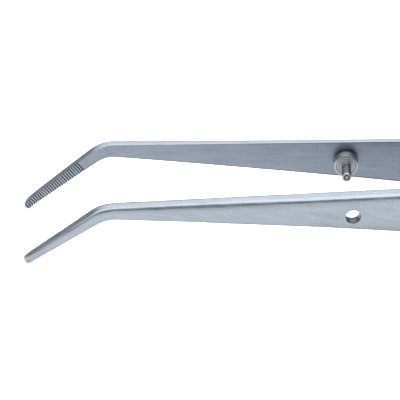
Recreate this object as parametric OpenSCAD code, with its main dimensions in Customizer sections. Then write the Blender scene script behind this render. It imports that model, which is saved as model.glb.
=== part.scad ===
// Guide-pin tongs: two spring-steel arms joined at the heel, with bent serrated tips.
// Frame: X runs from the tips (-X) to the heel (+X), +Y is the pin arm's side, +Z is up.
// The tongs rest on Z = 0 on their two tips and on the straight lower edge of the rear half.
// Stations along an arm, called s, are counted from the guide pin: negative towards the tips.
// Heights, called h, are counted from the spine edge: negative downwards.

/* [Overall] */
// Length from the tips to the heel end
length = 160; // [158:0.5:162]
// Distance from the tip ends back to the guide pin
tip_to_pin = 53.56; // [53.5:0.02:53.6]
// Distance from the guide pin back to the flexing root of the arms
pin_to_root = 97; // [95:0.5:98]
// Angle between the spine edge and the surface that the tongs lie on
pitch = 1.47; // [1.4:0.01:1.47]

/* [Arm width, seen from the side] */
// Width of an arm at the guide pin
pin_width = 6.55; // [6.2:0.05:6.9]
// Growth of the width per millimetre towards the heel, at the pin
width_taper = 0.1214; // [0.118:0.0005:0.124]
// Curvature of the lower edge in front of the grip
width_curve = 0.000235; // [0.0002:0.000005:0.00025]
// Station where the lower edge starts to level out
belly_start = 8; // [6:1:10]
// Station where the lower edge meets the rest plane
belly_end = 34; // [32:1:36]
// Width of the heel
heel_width = 5.6; // [5:0.1:6]
// Radius of the heel's corners
heel_round = 1.6; // [1:0.1:2]

/* [Arm spread, seen from above] */
// Half of the gap between the arms at the guide pin
pin_half_gap = 7.81; // [7.7:0.01:7.9]
// Splay of each arm in front of the pin, per millimetre
splay = 0.035; // [0.034:0.0005:0.036]
// How strongly each tip leans towards the other, per millimetre
tip_lean = 0.0743; // [0.07:0.0005:0.076]
// Half of the gap between the arms just ahead of the heel
root_half_gap = 0.05; // [0.05:0.01:0.08]
// Thickness of the arms at the grip
grip_t = 1.98; // [1.9:0.02:2]
// Thickness of the arms at the flexing root
root_t = 1.1; // [1:0.02:1.1]
// Thickness of the arms at the bend
bend_t = 1.94; // [1.9:0.02:2]
// Thickness of the arms at the tip ends
tip_t = 1.4; // [1.3:0.02:1.5]
// Thickness of each arm's heel tab
heel_t = 1.2; // [1.2:0.01:1.3]
// Size of the round along the outer spine edge, as a share of the full one
spine_round = 1; // [0.8:0.05:1]
// Size of the round along the outer lower edge, as a share of the full one
lower_round = 1; // [0.8:0.05:1]

/* [Bent tips] */
// Station of the bend's corner on the spine edge
bend_station = -40.3; // [-41:0.1:-40]
// Angle of the tip's spine edge
bend_angle = 37.6; // [36:0.2:38]
// Angle of the tip's lower edge
under_angle = 34.4; // [33.5:0.1:35]
// Radius of the bend on the spine edge
bend_round = 6.6; // [6:0.2:7]
// Radius of the bend on the lower edge
under_round = 4.9; // [4:0.1:5]
// Length of the bent tip along its spine edge
tip_length = 16.7; // [16.6:0.02:16.7]
// Width across the end of the tip
nose_width = 1.23; // [1.2:0.01:1.3]
// Radius of the corners of the tip's end
nose_round = 0.58; // [0.4:0.02:0.6]

/* [Serrations and grip] */
// Number of serrations in each tip
serrations = 27; // [20:1:27]
// Distance between serrations
serration_pitch = 0.435; // [0.42:0.005:0.44]
// Depth of the serrations
serration_depth = 0.13; // [0.08:0.01:0.16]
// Number of finger grooves across the outside of each arm
grip_grooves = 11; // [8:1:12]
// Distance between finger grooves
grip_pitch = 2.4; // [2:0.1:2.5]
// Depth of the finger grooves
grip_depth = 0.22; // [0.1:0.02:0.3]
// Station of the first finger groove
grip_start = 14; // [12:1:16]

/* [Guide pin and hole] */
// Depth of the pin's axis below the spine edge
pin_drop = 3.5; // [3.4:0.05:3.6]
// Depth of the hole's axis below the spine edge
hole_drop = 3.75; // [3.6:0.05:3.75]
// Diameter of the guide hole
hole_d = 2.46; // [2.4:0.02:2.6]
// Diameter of the pin's shank
shank_d = 1.56; // [1.4:0.02:1.6]
// Diameter of the ring at the shank's root
collar_d = 1.8; // [1.7:0.02:1.9]
// Diameter of the stop boss
boss_d = 4.02; // [3.8:0.02:4.2]
// Height of the stop boss above the arm's inner face
boss_h = 1.85; // [1.7:0.05:2]
// Reach of the pin from the arm's inner face
pin_reach = 5.57; // [5.5:0.01:5.7]
// Diameter of the pin's riveted tail
tail_d = 1.8; // [1.6:0.1:2]
// Diameter of the tail's flush head
tail_head_d = 2.8; // [2.6:0.1:3]

/* [Heel joint] */
// Diameter of the heel rivets
rivet_d = 1.8; // [1.6:0.1:2]
// Diameter of the rivets' flush heads
rivet_head_d = 2.8; // [2.6:0.1:3]
// Distance from the root to the first rivet
rivet_first = 3.4; // [3.2:0.1:3.6]
// Distance between the rivets
rivet_spacing = 3.7; // [3.5:0.1:3.8]
// Radial clearance of the rounded arm end in its seat
seat_clearance = 0.04; // [0.02:0.01:0.08]

/* [Hidden] */

steel = [0.66, 0.69, 0.73];
bright_steel = [0.74, 0.76, 0.79];
arc_steps = 8;
round_fn = 64;
tall = 40;

pin_x = tip_to_pin - length / 2;
root_x = pin_x + pin_to_root;
heel_x = length / 2;
head_h = 0.4;
chamfer = 0.15;
dimple_r = 0.3;
dimple_h = 0.15;
collar_h = 0.35;
horn_trim = 0.35;
bend_end = bend_station + 4.3;
grip_from = 11.5;
grip_to = grip_from + grip_grooves * grip_pitch + 2.6;

function unit(v) = v / norm(v);
function turned(v, a) = [v.x * cos(a) - v.y * sin(a), v.x * sin(a) + v.y * cos(a)];

// Points of the round corner at p, between the lines towards p0 and p1
function corner(p0, p, p1, r) = let (
    u = unit(p0 - p),
    v = unit(p1 - p),
    half = acos(u * v) / 2,
    centre = p + unit(u + v) * r / sin(half),
    start = p + u * r / tan(half) - centre,
    sweep = -sign(cross(u, v)) * (180 - 2 * half)
) [for (i = [0:arc_steps]) centre + turned(start, sweep * i / arc_steps)];

// Width of the arm at a station: it grows from the bend, then levels out to the rest plane
function front_width(s) = pin_width + width_taper * s + width_curve * s * s;
belly_slope = width_taper + 2 * width_curve * belly_start;
belly_run = belly_end - belly_start;
function belly_width(s) = let (d = s - belly_start)
    front_width(belly_start) + belly_slope * d - (belly_slope + tan(pitch)) * d * d / (2 * belly_run);
rest_width = belly_width(belly_end);

// Height of the spine edge at the pin, above the rest plane, and points in the tongs' frame
spine_z = rest_width * cos(pitch) + belly_end * sin(pitch);
function placed(s, h) = [pin_x, spine_z] + turned([s, h], -pitch);

// Half gap between the arms, and the arms' thickness across it
lean_station = bend_station + 1.3;
bow = (pin_half_gap - splay * pin_to_root - root_half_gap) / (pin_to_root * pin_to_root);
function half_gap(s) = s < lean_station
    ? half_gap(lean_station) - tip_lean * (lean_station - s)
    : pin_half_gap - splay * s - bow * pow(max(s, 0), 2);
tip_station = -tip_to_pin;
function blend(a, b, k) = a + (b - a) * k;
function thickness(s) = s < bend_station
    ? blend(bend_t, tip_t, pow((s - bend_station) / (tip_station - bend_station), 2))
    : s < belly_start
        ? blend(bend_t, grip_t, (s - bend_station) / (belly_start - bend_station))
        : blend(grip_t, root_t, (s - belly_start) / (pin_to_root - belly_start));

// Corners of the side view, in stations and heights
tip_axis = (bend_angle + under_angle) / 2;
bend_top = [bend_station, 0];
nose_top = bend_top - tip_length * [cos(bend_angle), sin(bend_angle)];
nose_bottom = nose_top + nose_width * [sin(tip_axis), -cos(tip_axis)];
neck = [bend_station + 4.3, -front_width(bend_station + 4.3)];
neck_slope = -(width_taper + 2 * width_curve * neck.x);
under_run = nose_bottom.y - neck.y - tan(under_angle) * (nose_bottom.x - neck.x);
under_s = neck.x + under_run / (neck_slope - tan(under_angle));
bend_bottom = [under_s, neck.y + neck_slope * (under_s - neck.x)];
heel_bottom = turned([heel_x - pin_x, -spine_z], pitch);
heel_top = turned([heel_x - pin_x, heel_width - spine_z], pitch);
crest = [belly_end + 6, 0];

module side_outline() {
    polygon(concat(
        corner(heel_bottom, heel_top, crest, heel_round),
        corner(heel_top, crest, bend_top, 600),
        corner(crest, bend_top, nose_top, bend_round),
        corner(bend_top, nose_top, nose_bottom, nose_round),
        corner(nose_top, nose_bottom, bend_bottom, nose_round),
        corner(nose_bottom, bend_bottom, neck, under_round),
        [for (s = [neck.x + 2:4:belly_start]) [s, -front_width(s)]],
        [for (i = [1:arc_steps]) let (s = belly_start + belly_run * i / arc_steps) [s, -belly_width(s)]],
        corner([belly_end, -rest_width], heel_bottom, heel_top, heel_round)
    ));
}

// The whole of an arm's side view, as a plate across both arms
module side_plate() {
    translate([pin_x, 0, spine_z])
        rotate([90, 0, 0])
            linear_extrude(tall, center = true)
                rotate(-pitch) side_outline();
}

// An arm's plan, from above, between two stations
stations = concat(
    [tip_station - 2, (tip_station + bend_station) / 2, bend_station, lean_station],
    [for (i = [0:4]) lean_station * (1 - i / 4) * 0.8],
    [for (i = [1:16]) pin_to_root * i / 16]
);

module leaf_plan() {
    polygon(concat(
        [for (s = stations) [pin_x + s, half_gap(s)]],
        [for (i = [len(stations) - 1:-1:0]) let (s = stations[i]) [pin_x + s, half_gap(s) + thickness(s)]]
    ));
}

root_y = root_half_gap + root_t / 2;
root_r = root_t / 2;

// Radii of the rounds along the outer edges: small at the bend, larger towards the grip
function spine_r(s) = spine_round * lookup(s, [
    [-53, 0.45], [-41, 0.6], [-37, 0.42], [-24, 0.62], [-8, 0.9], [8, 0.9], [70, 0.45], [97, 0.3]
]);
function lower_r(s) = lower_round * lookup(s, [
    [-53, 0.5], [-40, 0.45], [-36, 0.42], [-28, 0.75], [-12, 1.1], [-4, 1.35], [8, 1.4], [70, 0.5], [97, 0.35]
]);

// Points along an arm's two edges in its side view, from the tip to the root
spine_fall = corner(heel_top, crest, bend_top, 600);
spine_line = concat([[bend_station, 0]], [for (i = [arc_steps:-1:0]) spine_fall[i]], [heel_top]);
function lower_h(s) = s < belly_start ? -front_width(s)
    : s < belly_end ? -belly_width(s) : (s * sin(pitch) - spine_z) / cos(pitch);
bend_tops = corner(nose_top, bend_top, crest, bend_round);
bend_bottoms = corner(nose_bottom, bend_bottom, neck, under_round);
spine_points = concat(
    [for (t = [-0.1, 0.5]) nose_top + (bend_top - nose_top) * t],
    [for (i = [0:2:arc_steps]) bend_tops[i]],
    [for (s = [-24, belly_start, 22, 36, 50, 65, 81, pin_to_root + 1]) [s, lookup(s, spine_line)]]
);
lower_points = concat(
    [nose_bottom + (nose_bottom - bend_bottom) * 0.1],
    [for (i = [0:2:arc_steps]) bend_bottoms[i]],
    [for (s = [-28, -19, -10, -1, belly_start, 17, 25, belly_end, 50, 65, 81, pin_to_root + 1]) [s, lower_h(s)]]
);

// Puts a profile along an outer edge between two of those points. X of the profile is outwards
module along_edge(p0, p1) {
    at0 = placed(p0.x, p0.y);
    at1 = placed(p1.x, p1.y);
    s0 = at0.x - pin_x;
    s1 = at1.x - pin_x;
    start = [at0.x, half_gap(s0) + thickness(s0), at0.y];
    run = [at1.x, half_gap(s1) + thickness(s1), at1.y] - start;
    overlap = 0.12;
    translate(start)
        rotate([0, -atan2(run.z, norm([run.x, run.y])), atan2(run.y, run.x)])
            translate([-overlap, 0, 0])
                rotate([90, 0, 90])
                    linear_extrude(norm(run) + 2 * overlap) children();
}

// What the rounds take off an arm on the +Y side
module edge_rounds() {
    for (i = [0:len(spine_points) - 2]) {
        r = spine_r((spine_points[i].x + spine_points[i + 1].x) / 2);
        along_edge(spine_points[i], spine_points[i + 1])
            polygon([
                [-2.09 * r, 0.33 * r], [-0.6 * r, -0.33 * r], [-0.205 * r, -r],
                [0.1 * r, -3 * r], [2, -3 * r], [2, 1], [-2.09 * r, 1]
            ]);
    }
    for (i = [0:len(lower_points) - 2]) {
        r = lower_r((lower_points[i].x + lower_points[i + 1].x) / 2);
        along_edge(lower_points[i], lower_points[i + 1])
            polygon([
                [-1.71 * r, -0.29 * r], [-0.29 * r, 0.29 * r], [0.29 * r, 1.71 * r],
                [2, 1.71 * r], [2, -1], [-1.71 * r, -1]
            ]);
    }
}

// The moving length of an arm on the +Y side, ending in a rounded root
module leaf() {
    difference() {
        intersection() {
            side_plate();
            union() {
                linear_extrude(tall, center = true) leaf_plan();
                translate([root_x, root_y, 0])
                    cylinder(h = tall, r = root_r, center = true, $fn = round_fn);
            }
        }
        edge_rounds();
    }
}

// The length of an arm between two stations
module stretch(from, to) {
    intersection() {
        leaf();
        translate([pin_x + from, -20, -20]) cube([to - from, 40, 50]);
    }
}

// The fixed tab of an arm on the +Y side, with the seat for the rounded root
module heel_tab() {
    difference() {
        intersection() {
            side_plate();
            translate([root_x + horn_trim, 0, -tall / 2]) cube([heel_x - root_x, heel_t, tall]);
        }
        translate([root_x, root_y, 0])
            cylinder(h = tall, r = root_r + seat_clearance, center = true, $fn = round_fn);
        rivet_places() rivet();
    }
}

// Straight V grooves across the inner face of a tip
module serration_cuts() {
    face_angle = atan(tip_lean);
    nose_mid = (nose_top + nose_bottom) / 2;
    for (i = [1:serrations]) {
        mid = nose_mid + i * serration_pitch * [cos(tip_axis), sin(tip_axis)];
        at = placed(mid.x, mid.y);
        translate([at.x, half_gap(at.x - pin_x), at.y])
            rotate([0, 0, face_angle])
                rotate([0, tip_axis + pitch, 0])
                    linear_extrude(8, center = true)
                        polygon([
                            [-serration_pitch * 0.42, -0.01],
                            [0, serration_depth],
                            [serration_pitch * 0.42, -0.01]
                        ]);
    }
}

// Shallow round grooves across the outside of an arm, for the fingers
module grip_cuts() {
    groove_r = 0.8;
    for (i = [0:grip_grooves - 1]) {
        s = grip_start + i * grip_pitch;
        translate([pin_x + s, half_gap(s) + thickness(s) + groove_r - grip_depth, 0])
            cylinder(h = tall, r = groove_r, center = true, $fn = round_fn);
    }
}

// Puts a part, drawn along +Z, on the inner face of the +Y arm at the pin, pointing inwards
module on_inner_face(drop) {
    at = placed(0, -drop);
    translate([at.x, half_gap(at.x - pin_x), at.y])
        rotate([90, 0, 0])
            rotate([0, -atan(splay), 0])
                children();
}

// A turned pin: its axis is +Z, and the arm's inner face is at Z = 0
module turned_pin() {
    back = -thickness(0);
    rotate_extrude($fn = round_fn)
        polygon([
            [0, back], [tail_head_d / 2, back], [tail_d / 2, back + head_h], [tail_d / 2, 0],
            [boss_d / 2, 0], [boss_d / 2, boss_h - chamfer], [boss_d / 2 - chamfer, boss_h],
            [collar_d / 2, boss_h], [collar_d / 2, boss_h + collar_h], [shank_d / 2, boss_h + collar_h],
            [shank_d / 2, pin_reach - chamfer], [shank_d / 2 - chamfer, pin_reach],
            [dimple_r, pin_reach], [0, pin_reach - dimple_h]
        ]);
}

// A rivet through both heel tabs, with flush heads: its axis is +Z, centred on Z = 0
module rivet() {
    rotate_extrude($fn = round_fn)
        polygon([
            [0, -heel_t], [rivet_head_d / 2, -heel_t], [rivet_d / 2, head_h - heel_t],
            [rivet_d / 2, heel_t - head_h], [rivet_head_d / 2, heel_t], [0, heel_t]
        ]);
}

module rivet_places() {
    for (i = [0, 1]) {
        s = pin_to_root + rivet_first + i * rivet_spacing;
        translate([pin_x + s, 0, heel_width / 2])
            rotate([90, 0, 0])
                children();
    }
}

// The bent, serrated tip of an arm
module tip() {
    difference() {
        stretch(-tip_to_pin - 1, bend_end);
        serration_cuts();
    }
}

// The stretch of an arm with the finger grooves
module grip() {
    difference() {
        stretch(grip_from, grip_to);
        grip_cuts();
    }
}

// The thinner stretch that bends when the tongs are pressed
module spring() {
    stretch(grip_to, pin_to_root + 2);
}

module pin_tip() {
    color(steel) tip();
}

module hole_tip() {
    color(steel) mirror([0, 1, 0]) tip();
}

module pin_arm() {
    color(steel)
        difference() {
            stretch(bend_end, grip_from);
            on_inner_face(pin_drop) turned_pin();
        }
}

module hole_arm() {
    color(steel)
        mirror([0, 1, 0])
            difference() {
                stretch(bend_end, grip_from);
                on_inner_face(hole_drop) cylinder(h = 8, d = hole_d, center = true, $fn = round_fn);
            }
}

module pin_grip() {
    color(steel) grip();
}

module hole_grip() {
    color(steel) mirror([0, 1, 0]) grip();
}

module pin_spring() {
    color(steel) spring();
}

module hole_spring() {
    color(steel) mirror([0, 1, 0]) spring();
}

module pin_arm_heel() {
    color(steel) heel_tab();
}

module hole_arm_heel() {
    color(steel) mirror([0, 1, 0]) heel_tab();
}

module guide_pin() {
    color(bright_steel) on_inner_face(pin_drop) turned_pin();
}

module heel_rivets() {
    color(bright_steel) rivet_places() rivet();
}

pin_tip();
pin_arm();
pin_grip();
pin_spring();
hole_tip();
hole_arm();
hole_grip();
hole_spring();
pin_arm_heel();
hole_arm_heel();
guide_pin();
heel_rivets();
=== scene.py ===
"""Guide-pin tongs: two spring-steel arms joined at the heel, with bent serrated tips.

A station s counts along an arm from the guide pin, negative towards the tips. A height h counts
from the arm's spine edge, negative downwards. A point of a cross-section is (distance below the
spine edge, offset outwards from the inner face).
"""

import math

import bmesh
import bpy
import numpy as np
from mathutils import Matrix, Vector


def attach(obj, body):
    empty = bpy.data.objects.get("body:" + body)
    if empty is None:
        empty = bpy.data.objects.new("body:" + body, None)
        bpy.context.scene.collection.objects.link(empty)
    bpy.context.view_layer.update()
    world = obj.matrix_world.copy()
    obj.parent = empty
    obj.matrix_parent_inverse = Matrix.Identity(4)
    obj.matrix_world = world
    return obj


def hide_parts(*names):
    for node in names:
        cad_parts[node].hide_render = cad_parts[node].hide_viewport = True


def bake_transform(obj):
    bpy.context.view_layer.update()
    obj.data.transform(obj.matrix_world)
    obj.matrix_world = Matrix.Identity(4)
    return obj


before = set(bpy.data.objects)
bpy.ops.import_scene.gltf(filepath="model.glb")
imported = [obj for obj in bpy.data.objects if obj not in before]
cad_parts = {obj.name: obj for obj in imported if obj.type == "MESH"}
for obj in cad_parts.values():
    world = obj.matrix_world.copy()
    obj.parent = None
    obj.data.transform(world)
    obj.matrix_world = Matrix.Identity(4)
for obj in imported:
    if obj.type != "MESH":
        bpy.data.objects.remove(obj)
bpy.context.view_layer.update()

MM = 0.001

# ---------------------------------------------------------------- the arm's own shape

LENGTH = 160.0
TIP_TO_PIN = 53.56
PIN_TO_ROOT = 97.0
PITCH = math.radians(1.47)
PIN_WIDTH = 6.55
WIDTH_TAPER = 0.1214
WIDTH_CURVE = 0.000235
BELLY_START, BELLY_END = 8.0, 34.0
HEEL_WIDTH, HEEL_ROUND = 5.6, 1.6
PIN_HALF_GAP, ROOT_HALF_GAP = 7.81, 0.05
SPLAY, TIP_LEAN = 0.035, 0.0743
BEND_T, TIP_T, GRIP_T, ROOT_T, HEEL_T = 1.94, 1.40, 1.98, 1.10, 1.20
BEND_STATION = -40.3
BEND_ANGLE = math.radians(37.6)
UNDER_ANGLE = math.radians(34.4)
TIP_AXIS = (BEND_ANGLE + UNDER_ANGLE) / 2
BEND_ROUND, UNDER_ROUND, SPINE_ROUND = 6.6, 4.9, 600
TIP_LENGTH, NOSE_WIDTH = 16.70, 1.23

PIN_X = TIP_TO_PIN - LENGTH / 2
PIN_SLOPE = math.atan(SPLAY)
LEAN_STATION = BEND_STATION + 1.3
BOW = (PIN_HALF_GAP - SPLAY * PIN_TO_ROOT - ROOT_HALF_GAP) / PIN_TO_ROOT ** 2


def front_width(s):
    """The face's width from the bend to the belly, as seen in the photograph."""
    return PIN_WIDTH + WIDTH_TAPER * s + WIDTH_CURVE * s * s


def belly_width(s):
    """The face's width where its lower edge eases into the level one that the arm lies on."""
    slope = WIDTH_TAPER + 2 * WIDTH_CURVE * BELLY_START
    run = BELLY_END - BELLY_START
    d = s - BELLY_START
    return front_width(BELLY_START) + slope * d - (slope + math.tan(PITCH)) * d * d / (2 * run)


SPINE_Z = belly_width(BELLY_END) * math.cos(PITCH) + BELLY_END * math.sin(PITCH)


def placed(s, h):
    """Row-frame x and z, in mm, of a point of an arm's side view."""
    c, n = math.cos(PITCH), math.sin(PITCH)
    return PIN_X + s * c + h * n, SPINE_Z - s * n + h * c


def in_arm(x, z):
    """The station and height of a row-frame point."""
    c, n = math.cos(PITCH), math.sin(PITCH)
    dx, dz = x - PIN_X, z - SPINE_Z
    return dx * c - dz * n, dx * n + dz * c


def half_gap(s):
    """How far an arm's inner face stands from the middle plane."""
    if s > PIN_TO_ROOT:
        return ROOT_HALF_GAP * max(0.0, 1 - (s - PIN_TO_ROOT) / 0.8)
    if s < LEAN_STATION:
        return half_gap(LEAN_STATION) - TIP_LEAN * (LEAN_STATION - s)
    return PIN_HALF_GAP - SPLAY * s - BOW * max(s, 0.0) ** 2


def mix(a, b, k):
    return a + (b - a) * k


def eased(k):
    k = min(max(k, 0.0), 1.0)
    return k * k * (3 - 2 * k)


def between(x, pairs):
    """A value read off a list of (place, value) pairs."""
    return float(np.interp(x, [p[0] for p in pairs], [p[1] for p in pairs]))


def thickness(s):
    if s < BEND_STATION:
        return mix(BEND_T, TIP_T, ((s - BEND_STATION) / (-TIP_TO_PIN - BEND_STATION)) ** 2)
    if s < BELLY_START:
        return mix(BEND_T, GRIP_T, (s - BEND_STATION) / (BELLY_START - BEND_STATION))
    if s < PIN_TO_ROOT:
        return mix(GRIP_T, ROOT_T, (s - BELLY_START) / (PIN_TO_ROOT - BELLY_START))
    return mix(ROOT_T, HEEL_T, eased((s - PIN_TO_ROOT) / 2.0))


def corner(p0, p, p1, r, steps):
    """Points of the round corner at p between the lines towards p0 and p1."""
    p0, p, p1 = Vector(p0), Vector(p), Vector(p1)
    u, v = (p0 - p).normalized(), (p1 - p).normalized()
    half = math.acos(max(-1.0, min(1.0, u.dot(v)))) / 2
    centre = p + (u + v).normalized() * r / math.sin(half)
    start = p + u * r / math.tan(half) - centre
    sweep = -math.copysign(math.pi - 2 * half, u.x * v.y - u.y * v.x)
    out = []
    for i in range(steps + 1):
        a = sweep * i / steps
        out.append(centre + Vector((start.x * math.cos(a) - start.y * math.sin(a),
                                    start.x * math.sin(a) + start.y * math.cos(a))))
    return out


def along(points, count):
    """Points spread evenly by length over a chain of points."""
    pts = np.array([tuple(p) for p in points], float)
    run = np.concatenate(([0.0], np.cumsum(np.linalg.norm(np.diff(pts, axis=0), axis=1))))
    at = np.linspace(0, run[-1], count)
    return [Vector((np.interp(a, run, pts[:, 0]), np.interp(a, run, pts[:, 1]))) for a in at]


def meet(p, direction, q, angle):
    """Where the line from p meets the line through q at that angle."""
    w = Vector((math.cos(angle), math.sin(angle)))
    cross = direction.x * w.y - direction.y * w.x
    k = ((q.x - p.x) * w.y - (q.y - p.y) * w.x) / cross
    return p + direction * k


def round_inset(d, r):
    """How far a round of radius r stands in from the side, at a distance d from the end."""
    return 0.0 if d >= r else r - math.sqrt(max(r * r - (r - d) ** 2, 0.0))


# Corners of the arm's outline, as (station, height)
BEND_TOP = Vector((BEND_STATION, 0.0))
NOSE_TOP = BEND_TOP - TIP_LENGTH * Vector((math.cos(BEND_ANGLE), math.sin(BEND_ANGLE)))
TIP_U = Vector((math.cos(TIP_AXIS), math.sin(TIP_AXIS)))
TIP_N = Vector((math.sin(TIP_AXIS), -math.cos(TIP_AXIS)))
NOSE_BOTTOM = NOSE_TOP + NOSE_WIDTH * TIP_N
NOSE_MID = (NOSE_TOP + NOSE_BOTTOM) / 2
NECK = Vector((BEND_STATION + 4.3, -front_width(BEND_STATION + 4.3)))
NECK_SLOPE = -(WIDTH_TAPER + 2 * WIDTH_CURVE * NECK.x)
UNDER_RUN = NOSE_BOTTOM.y - NECK.y - math.tan(UNDER_ANGLE) * (NOSE_BOTTOM.x - NECK.x)
UNDER_S = NECK.x + UNDER_RUN / (NECK_SLOPE - math.tan(UNDER_ANGLE))
BEND_BOTTOM = Vector((UNDER_S, NECK.y + NECK_SLOPE * (UNDER_S - NECK.x)))
HEEL_BOTTOM = Vector(in_arm(LENGTH / 2, 0.0))
HEEL_TOP = Vector(in_arm(LENGTH / 2, HEEL_WIDTH))
CREST = Vector((BELLY_END + 6, 0.0))

SPINE_FALL = corner(HEEL_TOP, CREST, BEND_TOP, SPINE_ROUND, 24)
HEEL_UPPER = corner(HEEL_BOTTOM, HEEL_TOP, CREST, HEEL_ROUND, 10)
SPINE_LINE = [tuple(p) for p in [BEND_TOP] + SPINE_FALL[::-1] + HEEL_UPPER[::-1]]


def lower_h(s):
    """Height of the lower edge."""
    if s < BELLY_START:
        return -front_width(s)
    if s < BELLY_END:
        return -belly_width(s)
    flat = (s * math.sin(PITCH) - SPINE_Z) / math.cos(PITCH)
    x = placed(s, flat)[0]
    return flat + round_inset(max(LENGTH / 2 - x, 0.0), HEEL_ROUND)


# ---------------------------------------------------------------- sections along the arm

NOSE_REACH, NOSE_THINNING = 2.1, 0.78
SERRATIONS, SERRATION_PITCH, SERRATION_HALF = 27, 0.435, 0.105
SERRATION_DEPTH = 0.30
SHALLOW = {1: 0.8, 9: 0.66, 10: 0.7, 18: 0.6, 24: 0.7, 25: 0.66}
GRIP_GROOVES, GRIP_PITCH, GRIP_START, GRIP_DEPTH, GRIP_R = 11, 2.4, 14.0, 0.22, 0.8
GROOVE_STATIONS = (-0.75, -0.57, -0.38, -0.19, 0.0, 0.19, 0.38, 0.57, 0.75)
BEND_SECTIONS = 34
# The hole lies in a block of this many sections, and as many rows, that is left open in both faces
BLOCK, BLOCK_HALF = 12, 1.9
PAST_NOSE = 99.0


def tip_section(d, cut=0.0):
    """The section of the bent tip at a distance d from its end."""
    p = NOSE_MID + TIP_U * d
    top = meet(p, TIP_N, BEND_TOP, BEND_ANGLE)
    bottom = meet(p, TIP_N, NOSE_BOTTOM, UNDER_ANGLE)
    fall = round_inset(d, 0.60) + 0.10 * max(0.0, 1 - d / 2.4) ** 2
    return {"top": top + TIP_N * fall, "bottom": bottom - TIP_N * round_inset(d, 0.50), "cut": cut, "d": d}


def plain_section(top, bottom):
    return {"top": top, "bottom": bottom, "cut": 0.0, "d": PAST_NOSE}


def serration_depth(i):
    """Each groove is filed a little deeper or shallower than the next, and some are worn."""
    return (SERRATION_DEPTH + 0.05 * math.sin(2.3 * i + 0.6)) * SHALLOW.get(i, 1.0)


def arm_sections():
    """Every section from the tip to the heel, and the number of the one where the hole's block starts."""
    out = [tip_section(d) for d in (0.0, 0.012, 0.045, 0.1, 0.17, 0.25, 0.32)]
    for i in range(1, SERRATIONS + 1):
        d = i * SERRATION_PITCH
        out.append(tip_section(d - SERRATION_HALF))
        out.append(tip_section(d, serration_depth(i)))
        out.append(tip_section(d + SERRATION_HALF))
        out.append(tip_section(d + SERRATION_PITCH / 2))
    last = out[-1]
    top_line = [last["top"]] + corner(NOSE_TOP, BEND_TOP, CREST, BEND_ROUND, 16) + [Vector((NECK.x, 0))]
    low_line = [last["bottom"]] + corner(NOSE_BOTTOM, BEND_BOTTOM, NECK, UNDER_ROUND, 16) + [NECK]
    bend = list(zip(along(top_line, BEND_SECTIONS), along(low_line, BEND_SECTIONS)))
    out += [plain_section(top, bottom) for top, bottom in bend[1:]]
    stations = list(np.arange(NECK.x + 1.0, -BLOCK_HALF - 0.4, 1.0))
    first = len(out) + len(stations)
    stations += [BLOCK_HALF * (2 * i / BLOCK - 1) for i in range(BLOCK + 1)]
    stations += list(np.arange(BLOCK_HALF + 0.8, GRIP_START - 1.2, 1.0))
    for i in range(GRIP_GROOVES):
        stations += [GRIP_START + i * GRIP_PITCH + off for off in GROOVE_STATIONS]
    stations += list(np.arange(GRIP_START + GRIP_GROOVES * GRIP_PITCH, PIN_TO_ROOT - 0.5, 1.5))
    stations += [PIN_TO_ROOT + k * 0.4 for k in range(7)]
    end = HEEL_TOP.x
    stations += list(np.arange(PIN_TO_ROOT + 3.0, end - 2.0, 0.6))
    stations += [end - HEEL_ROUND * (1 - math.sin(math.radians(a))) for a in range(0, 90, 9)] + [end - 0.004]
    out += [plain_section(Vector((s, between(s, SPINE_LINE))), Vector((s, lower_h(s)))) for s in stations]
    return out, first


def groove_cut(s):
    """Depth of the round finger grooves on an arm's outer face."""
    k = round((s - GRIP_START) / GRIP_PITCH)
    if not 0 <= k < GRIP_GROOVES:
        return 0.0
    off = s - GRIP_START - k * GRIP_PITCH
    reach = math.sqrt(GRIP_R ** 2 - (GRIP_R - GRIP_DEPTH) ** 2)
    if abs(off) < reach:
        return math.sqrt(GRIP_R ** 2 - off ** 2) - (GRIP_R - GRIP_DEPTH)
    return 0.0


# ---------------------------------------------------------------- one cross-section

# Shares of the face height: four rows, then twelve equal rows round the hole, then the last
ROWS = [0.0, 0.05, 0.11, 0.17] + [0.2275 + 0.0625 * i for i in range(BLOCK + 1)] + [1.0]
INNER_R = 0.06
TOP_STEPS, LOW_STEPS, EDGE_STEPS = 20, 10, 3
TOP_ARC = TOP_STEPS // 2

# Places round a section, counted from the spine edge of the inner face
LOW_START = len(ROWS) + 2 + EDGE_STEPS + 1
OUTER_START = LOW_START + LOW_STEPS - 1
INNER_BLOCK = 4
OUTER_BLOCK = OUTER_START + len(ROWS) - 1 - INNER_BLOCK - BLOCK
FACE = range(len(ROWS) - 1)
# Places along the lower edge that are painted as shade: near-black lines along its inner corner and its outer
# round, and a darker band between them
LOWER_EDGE = range(len(ROWS) + 1, LOW_START + 6)
LOWER_LINES = (*range(len(ROWS) - 2, len(ROWS) + 1), *range(LOW_START, LOW_START + 5))

# Radii of the long outer rounds, as (station, radius): small at the bend, larger towards the grip
TOP_RADII = ((-53, 0.45), (-46, 0.55), (-41, 0.72), (-37, 0.48), (-30, 0.55), (-24, 0.68),
             (-16, 0.78), (-8, 0.98), (8, 1.0), (70, 0.45), (97, 0.3))
LOW_RADII = ((-53, 0.5), (-46, 0.55), (-40, 0.45), (-36, 0.42), (-28, 0.75), (-20, 0.85),
             (-12, 1.1), (-4, 1.35), (8, 1.4), (70, 0.5), (97, 0.35))
DENT_STATION, DENT_REACH, DENT_DEPTH = -38.2, 0.5, 0.22


def top_round(s):
    """Radius at the start of the round along the spine, with a small dent on the bend."""
    return between(s, TOP_RADII) - DENT_DEPTH * math.exp(-((s - DENT_STATION) / DENT_REACH) ** 2)


def low_round(s):
    return between(s, LOW_RADII)


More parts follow.
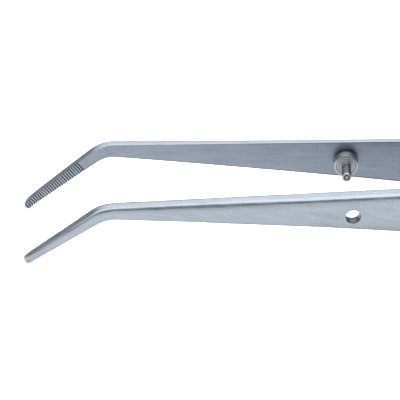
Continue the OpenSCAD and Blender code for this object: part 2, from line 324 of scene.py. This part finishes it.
def top_profile(r, deep):
    """The outer round along the spine, from the edge down to the face, as (depth, inset).

    It turns tightly at the spine edge and ever more gently towards the face.
    """
    shoulder = between(r, ((0.68, 1.9), (0.82, 1.1), (0.96, 0.3)))
    crown = between(r, ((0.68, 1.4), (0.96, 2.0)))
    chain = [(0.0, 0.0)]
    n = TOP_STEPS // 4
    for a0, a1, k in ((0, 28, 0.65), (28, 50, crown), (50, 74, shoulder), (74, 90, 6.2)):
        for i in range(n):
            a = math.radians(a0 + (a1 - a0) * (i + 0.5) / n)
            step = math.radians((a1 - a0) / n) * r * k
            w, y = chain[-1]
            chain.append((w + step * math.sin(a), y + step * math.cos(a)))
    end_w, end_y = chain[-1]
    k = min(1.0, deep / end_w)
    return [(w * k, (end_y - y) * k) for w, y in chain]


def section_sizes(width, inner, outer, rt, rl):
    """The lower radius that fits the section, and the profile of its upper round."""
    room = max(outer - inner, 0.2)
    rl = min(rl, room * 0.85, width * 0.4)
    chain = top_profile(min(rt, room * 0.55), (width - rl) * 0.62)
    return rl, chain


def loop_of(width, inner, outer, rt, rl):
    """The points round a cross-section, inner face first."""
    ri = min(INNER_R, (outer - inner) * 0.12, width * 0.1)
    rl, chain = section_sizes(width, inner, outer, rt, rl)
    start = chain[TOP_ARC][0]
    pts = [(ri + (width - 2 * ri) * g, inner) for g in ROWS]
    for a in (30, 60):
        pts.append((width - ri + ri * math.sin(math.radians(a)), inner + ri - ri * math.cos(math.radians(a))))
    for k in range(EDGE_STEPS + 1):
        pts.append((width, mix(inner + ri, outer - rl, k / EDGE_STEPS)))
    for k in range(1, LOW_STEPS):
        a = math.pi / 2 * k / LOW_STEPS
        pts.append((width - rl + rl * math.cos(a), outer - rl + rl * math.sin(a)))
    for g in reversed(ROWS):
        w = start + (width - start - rl) * g
        pts.append((w, outer - between(w, chain)))
    for w, y in reversed(chain[1:TOP_ARC]):
        pts.append((w, outer - y))
    flat = outer - chain[0][1]
    for k in range(EDGE_STEPS + 1):
        pts.append((0.0, mix(flat, inner + ri, k / EDGE_STEPS)))
    for a in (60, 30):
        pts.append((ri - ri * math.sin(math.radians(a)), inner + ri - ri * math.cos(math.radians(a))))
    return pts


# ---------------------------------------------------------------- the arms' meshes

# Material slots of an arm: satin, a near-black steel that paints shade, and a rougher steel darkened as painted
# shade
SATIN, PAINTED_SHADE, DULL_AND_SHADED = 0, 1, 2
TOOTHED_LENGTH, DEEP_CUT = 11.5, 0.22
LIP = 0.05
WALL_STEPS = 3
UP = Vector((0.0, 0.0, 1.0))


def finish_mesh(name, verts, faces, slots, grain, sharp):
    """The object of a mesh given in mm. The materials read their grain from its grain coordinates."""
    mesh = bpy.data.meshes.new(name)
    mesh.from_pydata([tuple(v * MM) for v in verts], [], faces)
    mesh.polygons.foreach_set("material_index", np.array(slots, np.int32))
    attribute = mesh.attributes.new("grain", "FLOAT_VECTOR", "POINT")
    attribute.data.foreach_set("vector", np.array(grain, np.float32).reshape(-1))
    mesh.polygons.foreach_set("use_smooth", [True] * len(mesh.polygons))
    bm = bmesh.new()
    bm.from_mesh(mesh)
    bmesh.ops.recalc_face_normals(bm, faces=bm.faces)
    bm.to_mesh(mesh)
    bm.free()
    mesh.set_sharp_from_angle(angle=math.radians(sharp))
    mesh.update()
    obj = bpy.data.objects.new(name, mesh)
    bpy.context.scene.collection.objects.link(obj)
    return obj


class Skin:
    """An arm's mesh as it is put together. side is +1 for the pin arm and -1 for the hole arm."""

    def __init__(self, side):
        self.side = side
        self.verts, self.grain, self.faces, self.slots = [], [], [], []

    def vertex(self, point, grain):
        self.verts.append(point)
        self.grain.append(grain)
        return len(self.verts) - 1

    def face(self, corners, slot=SATIN):
        self.faces.append(tuple(corners) if self.side > 0 else tuple(reversed(corners)))
        self.slots.append(slot)

    def join(self, a, b, slot=SATIN):
        """Faces between two rings of vertices."""
        for i in range(len(a)):
            j = (i + 1) % len(a)
            self.face((a[j], a[i], b[i], b[j]), slot)


def lay_rings(skin, sections):
    """The vertices of each section, as one ring a section."""
    rings = []
    travelled = 0.0
    before = None
    for sec in sections:
        top, bottom = sec["top"], sec["bottom"]
        mid = (top + bottom) / 2
        if before is not None:
            travelled += (mid - before).length
        before = mid
        width = (bottom - top).length
        down = (bottom - top).normalized() if width > 1e-6 else Vector((0, -1))
        x_mid = placed(mid.x, mid.y)[0] - PIN_X
        nose = 1 - math.sqrt(1 - max(0.0, 1 - sec["d"] / NOSE_REACH) ** 2)
        inner = round_inset(sec["d"], 0.12) + sec["cut"]
        outer = thickness(x_mid) * (1 - NOSE_THINNING * nose) - groove_cut(x_mid)
        loop = loop_of(width, inner, outer, top_round(x_mid), low_round(x_mid))
        ring = []
        run = 0.0
        last = loop[0]
        for w, y in loop:
            p = top + down * w
            x, z = placed(p.x, p.y)
            run += math.hypot(w - last[0], y - last[1])
            last = (w, y)
            ring.append(skin.vertex(Vector((x, skin.side * (half_gap(x - PIN_X) + y), z)),
                                    (travelled, run, 3.7 * skin.side)))
        rings.append(ring)
    return rings


def skin_finish(j, here, there):
    """The slot of the face at place j between two sections. Deep tip grooves and the lines along the lower edge get
    near-black painted shade; the inner face, shallow tip grooves and the lower edge get the rougher steel darkened
    as painted shade; the ridges of the teeth and the outer surfaces stay satin.
    """
    toothed = here["d"] < TOOTHED_LENGTH and j in FACE
    cut = max(here["cut"], there["cut"])
    if j in LOWER_LINES or (toothed and cut > DEEP_CUT):
        return PAINTED_SHADE
    if (j in FACE and not toothed) or (toothed and cut > 0) or j in LOWER_EDGE:
        return DULL_AND_SHADED
    return SATIN


def rim(rings, j0):
    """The border of the open block that starts at place j0, once round. rings are the block's own."""
    return ([rings[k][j0] for k in range(BLOCK)]
            + [rings[BLOCK][j0 + j] for j in range(BLOCK)]
            + [rings[BLOCK - k][j0 + BLOCK] for k in range(BLOCK)]
            + [rings[0][j0 + BLOCK - j] for j in range(BLOCK)])


def cut_hole(skin, inner_rim, outer_rim, hole_drop, r_in, r_out):
    """Closes the two open blocks round a hole, whose axis is square to the inner face at the pin."""
    verts, grain = skin.verts, skin.grain
    cx, cz = placed(0.0, -hole_drop)
    centre = Vector((cx, skin.side * half_gap(cx - PIN_X), cz))
    axis = Vector((-math.sin(PIN_SLOPE), skin.side * -math.cos(PIN_SLOPE), 0.0))
    across = Vector((math.cos(PIN_SLOPE), skin.side * -math.sin(PIN_SLOPE), 0.0))
    thick = thickness(0.0)
    chain = section_sizes(PIN_WIDTH, 0.0, thick, top_round(0.0), low_round(0.0))[1]

    def face_depth(p, outside):
        """How far the point's own face lies behind the inner face, at its height."""
        return thick - between(hole_drop - (p - centre).dot(UP), chain) if outside else 0.0

    def angle(i):
        rel = verts[i] - centre
        return math.atan2(rel.dot(UP), rel.dot(across))

    def circle(radius, depth, ring, outside):
        """A circle round the hole's axis with one vertex for each vertex of the border."""
        made = []
        for i in ring:
            a = angle(i)
            p = centre + across * radius * math.cos(a) + UP * radius * math.sin(a)
            p -= axis * (face_depth(p, outside) + depth)
            made.append(skin.vertex(p, (grain[i][0], grain[i][1], grain[i][2] + depth)))
        return made

    def halfway(ring, inner_ring, outside):
        """A ring midway between two, on the face."""
        made = []
        for a, b in zip(ring, inner_ring):
            p = verts[a].lerp(verts[b], 0.5)
            p = p - axis * ((p - centre).dot(axis) + face_depth(p, outside))
            made.append(skin.vertex(p, grain[a]))
        return made

    def lip(border, radius, outside):
        """The face from its border to the hole, with a small round at the hole's edge."""
        depth = -LIP if outside else LIP
        flat = circle(radius + LIP, 0.0, border, outside)
        middle = halfway(border, flat, outside)
        edge = circle(radius, depth, border, outside)
        turn = circle(radius + LIP * 0.3, depth * 0.3, border, outside)
        # Round the hole the inner face takes the rougher steel darkened as painted shade; the outer face stays
        # satin.
        slot = SATIN if outside else DULL_AND_SHADED
        skin.join(border, middle, slot)
        skin.join(middle, flat, slot)
        skin.join(flat, turn)
        skin.join(turn, edge)
        return edge

    edge_in = lip(inner_rim, r_in, False)
    edge_out = lip(outer_rim, r_out, True)
    # The outer border runs the other way round, so the wall's two ends are matched by angle
    start, end = sorted(edge_in, key=angle), sorted(edge_out, key=angle)
    previous = start
    for k in range(1, WALL_STEPS + 1):
        current = end
        if k < WALL_STEPS:
            current = [skin.vertex(verts[a].lerp(verts[b], k / WALL_STEPS), grain[a]) for a, b in zip(start, end)]
        # The wall takes the near-black steel: painted shade down inside the hole.
        skin.join(current, previous, PAINTED_SHADE)
        previous = current


def arm_mesh(name, side, hole_drop, r_in, r_out):
    """One arm from tip to heel, with its hole's depth below the spine and its radius in each face."""
    sections, first = arm_sections()
    skin = Skin(side)
    rings = lay_rings(skin, sections)
    count = len(rings[0])
    for k, (here, there) in enumerate(zip(sections, sections[1:])):
        for j in range(count):
            beside = 0 <= j - INNER_BLOCK < BLOCK or 0 <= j - OUTER_BLOCK < BLOCK
            if beside and first <= k < first + BLOCK:
                continue
            n = (j + 1) % count
            skin.face((rings[k][j], rings[k][n], rings[k + 1][n], rings[k + 1][j]), skin_finish(j, here, there))
    block = rings[first:first + BLOCK + 1]
    cut_hole(skin, rim(block, INNER_BLOCK), rim(block, OUTER_BLOCK), hole_drop, r_in, r_out)
    skin.face(rings[0][::-1])
    skin.face(rings[-1])
    return finish_mesh(name, skin.verts, skin.faces, skin.slots, skin.grain, 32)


# ---------------------------------------------------------------- turned pieces

def lathe(name, profile, origin, axis, steps=96, sharp=30, finish=lambda r, h: 0):
    """A turned piece: profile is (radius, distance along the axis), and finish gives the slot there."""
    axis = Vector(axis).normalized()
    side = axis.orthogonal().normalized()
    other = axis.cross(side)
    origin = Vector(origin)
    verts, grain, faces, slots, rings = [], [], [], [], []
    run = 0.0
    last = profile[0]
    for r, h in profile:
        run += math.hypot(r - last[0], h - last[1])
        last = (r, h)
        if r < 1e-6:
            rings.append([len(verts)])
            verts.append(origin + axis * h)
            grain.append((run, 0.0, 0.0))
            continue
        rings.append(list(range(len(verts), len(verts) + steps)))
        for i in range(steps):
            a = 2 * math.pi * i / steps
            verts.append(origin + axis * h + (side * math.cos(a) + other * math.sin(a)) * r)
            grain.append((run, math.cos(a) * r, math.sin(a) * r))
    for k, (a, b) in enumerate(zip(rings, rings[1:])):
        slot = finish((profile[k][0] + profile[k + 1][0]) / 2, (profile[k][1] + profile[k + 1][1]) / 2)
        slots += [slot] * steps
        for i in range(steps):
            j = (i + 1) % steps
            if len(a) == 1:
                faces.append((a[0], b[j], b[i]))
            elif len(b) == 1:
                faces.append((a[i], a[j], b[0]))
            else:
                faces.append((a[i], a[j], b[j], b[i]))
    return finish_mesh(name, verts, faces, slots, grain, sharp)


def rounded(points, steps=4):
    """A profile from (radius, height, round) triples, with those corners rounded off."""
    out = []
    for i, (x, y, k) in enumerate(points):
        if k <= 0 or i == 0 or i == len(points) - 1:
            out.append((x, y))
            continue
        for q in corner(points[i - 1][:2], (x, y), points[i + 1][:2], k, steps):
            out.append((q.x, q.y))
    return out


BOSS_R, BOSS_H, BOSS_UNDERCUT = 2.01, 1.85, 0.4
COLLAR_R, COLLAR_H = 0.9, 0.35
SHANK_R, PIN_REACH = 0.78, 5.57
RING_DEPTH, RING_PITCH = 0.13, 0.78
TAIL_R, TAIL_HEAD_R, TAIL_BORE_R = 0.9, 1.4, 0.95
PIN_DROP, HOLE_DROP, HOLE_R = 3.5, 3.75, 1.23
RIVETS = (("heel_rivet_front", 73.96), ("heel_rivet_back", 77.66))
# Material slots of the guide pin: turned, the darker shank, and near-black painted shade in its recesses
TURNED, SHANK, PIN_SHADE = 0, 1, 2


def pin_profile():
    """Tail head, undercut stop boss with turned lines, collar, ringed shank and turned end."""
    back = -thickness(0.0)
    neck = BOSS_R - BOSS_UNDERCUT
    root = BOSS_H + COLLAR_H
    pts = [
        (0.0, back - 0.02, 0), (TAIL_HEAD_R - 0.02, back - 0.02, 0.04), (TAIL_HEAD_R - 0.02, back + 0.1, 0.02),
        (TAIL_R, back + 0.45, 0.05), (TAIL_R, -0.02, 0),
        (neck, -0.02, 0), (neck, 0.12, 0.02), (BOSS_R - 0.03, 0.22, 0.02), (BOSS_R, 0.27, 0),
        (BOSS_R, 0.92, 0), (BOSS_R - 0.035, 0.96, 0), (BOSS_R, 1.0, 0),
        (BOSS_R, BOSS_H - 0.11, 0.02), (BOSS_R - 0.24, BOSS_H, 0.03),
        (1.62, BOSS_H, 0), (1.56, BOSS_H - 0.09, 0), (1.48, BOSS_H - 0.02, 0),
        (1.24, BOSS_H - 0.02, 0), (1.18, BOSS_H - 0.07, 0), (1.12, BOSS_H, 0),
        (COLLAR_R, BOSS_H, 0.03), (COLLAR_R, root, 0.07), (SHANK_R, root + 0.03, 0.02),
    ]
    h = root + 0.12
    while h < PIN_REACH - 0.6:
        pts += [(SHANK_R, h, 0), (SHANK_R - RING_DEPTH, h + 0.1, 0.02),
                (SHANK_R - RING_DEPTH, h + 0.34, 0), (SHANK_R, h + 0.42, 0)]
        h += RING_PITCH
    pts += [
        (SHANK_R, PIN_REACH, 0.16), (0.53, PIN_REACH, 0.03), (0.42, PIN_REACH - 0.13, 0.03),
        (0.27, PIN_REACH - 0.04, 0.05), (0.0, PIN_REACH - 0.02, 0),
    ]
    return rounded(pts)


def pin_finish(r, h):
    """The shank is darker than the boss; down in its rings and in the hollow of the turned end the near-black steel
    paints shade.
    """
    if h < BOSS_H + COLLAR_H or h > PIN_REACH - 0.03:
        return TURNED
    if h > PIN_REACH - 0.17 and r > 0.55:
        return TURNED
    return SHANK if r > SHANK_R - 0.04 else PIN_SHADE


def rivet_profile():
    t = HEEL_T
    return rounded([
        (0.0, -t - 0.05, 0), (0.55, -t - 0.045, 0), (1.1, -t - 0.02, 0), (1.38, -t, 0.03), (0.9, -t + 0.4, 0.05),
        (0.9, t - 0.4, 0.05), (1.38, t, 0.03), (1.1, t + 0.02, 0), (0.55, t + 0.045, 0), (0.0, t + 0.05, 0),
    ])


# ---------------------------------------------------------------- materials

LINES_TONE, CLOUD_TONE, GRIT_TONE = 0.30, 0.22, 0.22
COLOUR_SPREAD = 0.16


def steel(name, base, rough, across, lengthwise, bump):
    """Satin steel: fine grain lines, faint smudges and small grit, from the grain coordinates.

    across and lengthwise are the grain's scales, and bump is its height in mm.
    """
    mat = bpy.data.materials.new(name)
    mat.use_nodes = True
    nodes, links = mat.node_tree.nodes, mat.node_tree.links
    nodes.clear()
    out = nodes.new("ShaderNodeOutputMaterial")
    bsdf = nodes.new("ShaderNodeBsdfPrincipled")
    bsdf.inputs["Metallic"].default_value = 1.0
    links.new(bsdf.outputs["BSDF"], out.inputs["Surface"])
    attribute = nodes.new("ShaderNodeAttribute")
    attribute.attribute_name = "grain"

    def noise(stretch, detail, roughness):
        mapping = nodes.new("ShaderNodeMapping")
        mapping.inputs["Scale"].default_value = stretch
        links.new(attribute.outputs["Vector"], mapping.inputs["Vector"])
        node = nodes.new("ShaderNodeTexNoise")
        node.inputs["Scale"].default_value = 1.0
        node.inputs["Detail"].default_value = detail
        node.inputs["Roughness"].default_value = roughness
        links.new(mapping.outputs["Vector"], node.inputs["Vector"])
        return node.outputs["Fac"]

    def ranged(value, low, high):
        node = nodes.new("ShaderNodeMapRange")
        node.inputs["From Min"].default_value = 0.3
        node.inputs["From Max"].default_value = 0.7
        node.inputs["To Min"].default_value = low
        node.inputs["To Max"].default_value = high
        links.new(value, node.inputs["Value"])
        return node.outputs["Result"]

    def maths(kind, a, b):
        node = nodes.new("ShaderNodeMath")
        node.operation = kind
        for socket, value in zip(node.inputs, (a, b)):
            if isinstance(value, (int, float)):
                socket.default_value = value
            else:
                links.new(value, socket)
        return node.outputs["Value"]

    def share(value, amount):
        return maths("MULTIPLY", ranged(value, -1.0, 1.0), amount)

    lines = noise((lengthwise, across, across), 5.0, 0.6)
    cloud = noise((0.22, 0.5, 0.5), 3.0, 0.5)
    grit = noise((3.0, 3.5, 3.5), 2.0, 0.5)
    tone = maths("ADD", share(lines, LINES_TONE), share(cloud, CLOUD_TONE))
    tone = maths("ADD", tone, share(grit, GRIT_TONE))
    colour = nodes.new("ShaderNodeMix")
    colour.data_type = "RGBA"
    colour.inputs["A"].default_value = tuple(c * (1 - COLOUR_SPREAD) for c in base) + (1.0,)
    colour.inputs["B"].default_value = tuple(c * (1 + COLOUR_SPREAD) for c in base) + (1.0,)
    links.new(maths("ADD", tone, 0.5), colour.inputs["Factor"])
    links.new(colour.outputs["Result"], bsdf.inputs["Base Color"])
    links.new(maths("ADD", ranged(lines, rough - 0.05, rough + 0.05), share(cloud, 0.03)), bsdf.inputs["Roughness"])
    bumped = nodes.new("ShaderNodeBump")
    bumped.inputs["Strength"].default_value = 1.0
    bumped.inputs["Distance"].default_value = bump * MM
    links.new(maths("ADD", lines, maths("MULTIPLY", grit, 0.35)), bumped.inputs["Height"])
    links.new(bumped.outputs["Normal"], bsdf.inputs["Normal"])
    return mat


satin = steel("satin_steel", (0.196, 0.217, 0.241), 0.32, 2.6, 0.16, 0.012)
# Rougher steel for the inner faces, shallow tip grooves and lower edge; its darker colour is painted shade, mostly
# the shade of the gap between the arms.
dull_and_shaded = steel("satin_steel_inside_shaded", (0.153, 0.173, 0.203), 0.38, 2.6, 0.16, 0.014)
turned = steel("turned_steel", (0.25, 0.264, 0.282), 0.36, 0.8, 9.0, 0.006)
ringed = steel("ringed_steel", (0.15, 0.158, 0.17), 0.40, 0.8, 9.0, 0.006)
# Near-black steel that paints shade: in the hole's wall, the deep tip grooves, the lines along the lower edge, and
# the pin's rings and end hollow.
painted_shade = steel("painted_shade_steel", (0.075, 0.08, 0.09), 0.42, 0.8, 9.0, 0.006)


def give(obj, *materials):
    """Fills an object's material slots in order."""
    for material in materials:
        obj.data.materials.append(material)


# ---------------------------------------------------------------- the object

pin_arm = arm_mesh("pin_arm_strip", 1, PIN_DROP, TAIL_BORE_R, TAIL_HEAD_R + 0.02)
hole_arm = arm_mesh("hole_arm_strip", -1, HOLE_DROP, HOLE_R, HOLE_R)
for obj, node, tip, grip, spring in (
        (pin_arm, "pin_arm", "pin_tip", "pin_grip", "pin_spring"),
        (hole_arm, "hole_arm", "hole_tip", "hole_grip", "hole_spring")):
    give(obj, satin, painted_shade, dull_and_shaded)
    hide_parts(node, tip, grip, spring, node + "_heel")
    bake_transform(obj)

pin_x, pin_z = placed(0.0, -PIN_DROP)
guide_pin = lathe("guide_pin_turned", pin_profile(), (pin_x, half_gap(pin_x - PIN_X), pin_z),
                  (-math.sin(PIN_SLOPE), -math.cos(PIN_SLOPE), 0.0), finish=pin_finish)
give(guide_pin, turned, ringed, painted_shade)
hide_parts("guide_pin")
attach(guide_pin, "pin_arm")

for label, x in RIVETS:
    rivet = lathe(label, rivet_profile(), (x, 0.0, HEEL_WIDTH / 2), (0.0, 1.0, 0.0), 72)
    give(rivet, turned)
    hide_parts("heel_rivets")
    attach(rivet, "heel")

# ---------------------------------------------------------------- floor, light and camera, in metres

FLOOR_HALF = 1.6
FLOOR_DROP = 0.00002

floor_mesh = bpy.data.meshes.new("floor")
floor_mesh.from_pydata([(x * FLOOR_HALF, y * FLOOR_HALF, 0) for x, y in ((-1, -1), (1, -1), (1, 1), (-1, 1))],
                       [], [(0, 1, 2, 3)])
floor = bpy.data.objects.new("floor", floor_mesh)
bpy.context.scene.collection.objects.link(floor)
floor.location.z = -FLOOR_DROP
floor_mat = bpy.data.materials.new("floor_white")
floor_mat.use_nodes = True
floor_bsdf = floor_mat.node_tree.nodes["Principled BSDF"]
floor_bsdf.inputs["Base Color"].default_value = (0.93, 0.93, 0.93, 1)
floor_bsdf.inputs["Roughness"].default_value = 0.9
floor_bsdf.inputs["Specular IOR Level"].default_value = 0.1
floor_bsdf.inputs["Emission Color"].default_value = (1.0, 1.0, 1.0, 1)
floor_bsdf.inputs["Emission Strength"].default_value = 0.2
give(floor, floor_mat)


def area_light(name, at, towards, size_x, size_y, radiance, colour=(1.0, 1.0, 1.0)):
    light = bpy.data.lights.new(name, "AREA")
    light.shape = "RECTANGLE"
    light.size, light.size_y = size_x, size_y
    light.energy = radiance * math.pi * size_x * size_y
    light.color = colour
    obj = bpy.data.objects.new(name, light)
    bpy.context.scene.collection.objects.link(obj)
    obj.location = at
    obj.rotation_euler = (Vector(towards) - Vector(at)).to_track_quat("-Z", "Y").to_euler()
    return obj


# The overhead light makes the highlight along the outer rounds, and the one behind lights the spines
area_light("soft_overhead", (-0.5, -0.32, 0.75), (-0.5, -0.3199, 0.0), 2.2, 0.74, 3.4, (1.0, 0.995, 0.985))
area_light("soft_behind", (0.0, 0.50, 0.62), (0.0, 0.0, 0.0), 1.4, 0.75, 3.3, (0.98, 0.985, 1.0))
front = area_light("front_fill", (0.0, -1.0, 0.36), (0.0, 0.0, 0.0), 1.2, 0.3, 1.2)
front.visible_glossy = False

# The world is brighter overhead than at the horizon, and darker towards the back
world = bpy.data.worlds.new("studio")
bpy.context.scene.world = world
world.use_nodes = True
tree = world.node_tree
background = tree.nodes["Background"]
place = tree.nodes.new("ShaderNodeTexCoord")
split = tree.nodes.new("ShaderNodeSeparateXYZ")
tree.links.new(place.outputs["Generated"], split.inputs["Vector"])
ramp = tree.nodes.new("ShaderNodeValToRGB")
tree.links.new(split.outputs["Z"], ramp.inputs["Fac"])
ramp.color_ramp.elements[0].position = 0.0
ramp.color_ramp.elements[0].color = (0.27, 0.285, 0.31, 1)
ramp.color_ramp.elements[1].position = 0.45
ramp.color_ramp.elements[1].color = (0.62, 0.65, 0.68, 1)
tree.links.new(ramp.outputs["Color"], background.inputs["Color"])
darker = tree.nodes.new("ShaderNodeMapRange")
darker.inputs["From Min"].default_value = -0.3
darker.inputs["From Max"].default_value = 0.5
darker.inputs["To Min"].default_value = 1.25
darker.inputs["To Max"].default_value = 0.45
tree.links.new(split.outputs["Y"], darker.inputs["Value"])
tree.links.new(darker.outputs["Result"], background.inputs["Strength"])

# The photograph's viewing angle, given in degrees, and what the camera is aimed at, in mm
AZIMUTH, ELEVATION, ROLL = (math.radians(a) for a in (-0.280, 31.018, -2.902))
TARGET, DISTANCE = Vector((-50.898, 0.0, 4.807)), 609.0

camera_data = bpy.data.cameras.new("camera")
camera_data.sensor_width = 36.0
camera_data.lens = 335.8
camera_data.clip_start, camera_data.clip_end = 0.05, 10.0
camera = bpy.data.objects.new("camera", camera_data)
bpy.context.scene.collection.objects.link(camera)
back = Vector((math.sin(AZIMUTH) * math.cos(ELEVATION), -math.cos(AZIMUTH) * math.cos(ELEVATION),
               math.sin(ELEVATION)))
level = Vector((math.cos(AZIMUTH), math.sin(AZIMUTH), 0.0))
upright = back.cross(level)
right = math.cos(ROLL) * level + math.sin(ROLL) * upright
up = -math.sin(ROLL) * level + math.cos(ROLL) * upright
camera.rotation_mode = "QUATERNION"
camera.rotation_quaternion = Matrix((right, up, back)).transposed().to_quaternion()
camera.location = TARGET * MM + back * DISTANCE * MM
bpy.context.scene.camera = camera
bpy.context.scene.view_settings.view_transform = "Standard"
